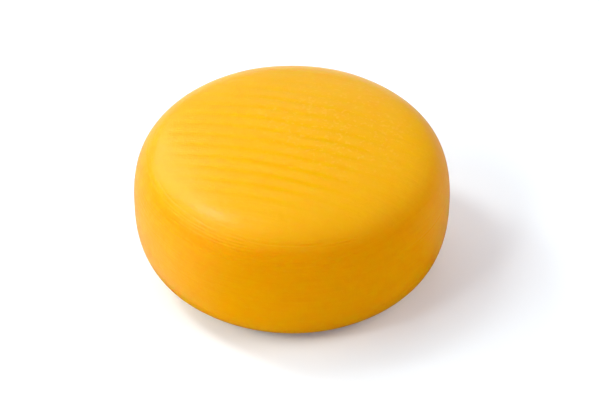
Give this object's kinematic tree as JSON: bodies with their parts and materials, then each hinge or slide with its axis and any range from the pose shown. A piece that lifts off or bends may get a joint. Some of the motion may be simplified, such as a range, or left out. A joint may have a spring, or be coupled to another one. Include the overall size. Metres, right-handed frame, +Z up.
{
  "type": "cheese wheel",
  "caption": "Whole uncut round of semi-hard cheese in a smooth yellow coating, with full rounded sides, a crowned top marked by shallow parallel board ridges and a flat underside.",
  "frame": {"origin": "middle of the flat underside, on the wheel's axis", "axes": "+Z up along the wheel's axis, +X to the right and -Y to the front; the ridges on the top run from left to right and about 16 degrees towards the front"},
  "size_m": [0.23, 0.23, 0.1105],
  "materials": {
    "coated_rind": "thin, satin, annatto-yellow plastic coating brushed on to the rind of a semi-hard cheese"
  },
  "bodies": {
    "root": {"cheese_wheel": "coated_rind"}
  },
  "joints": []
}
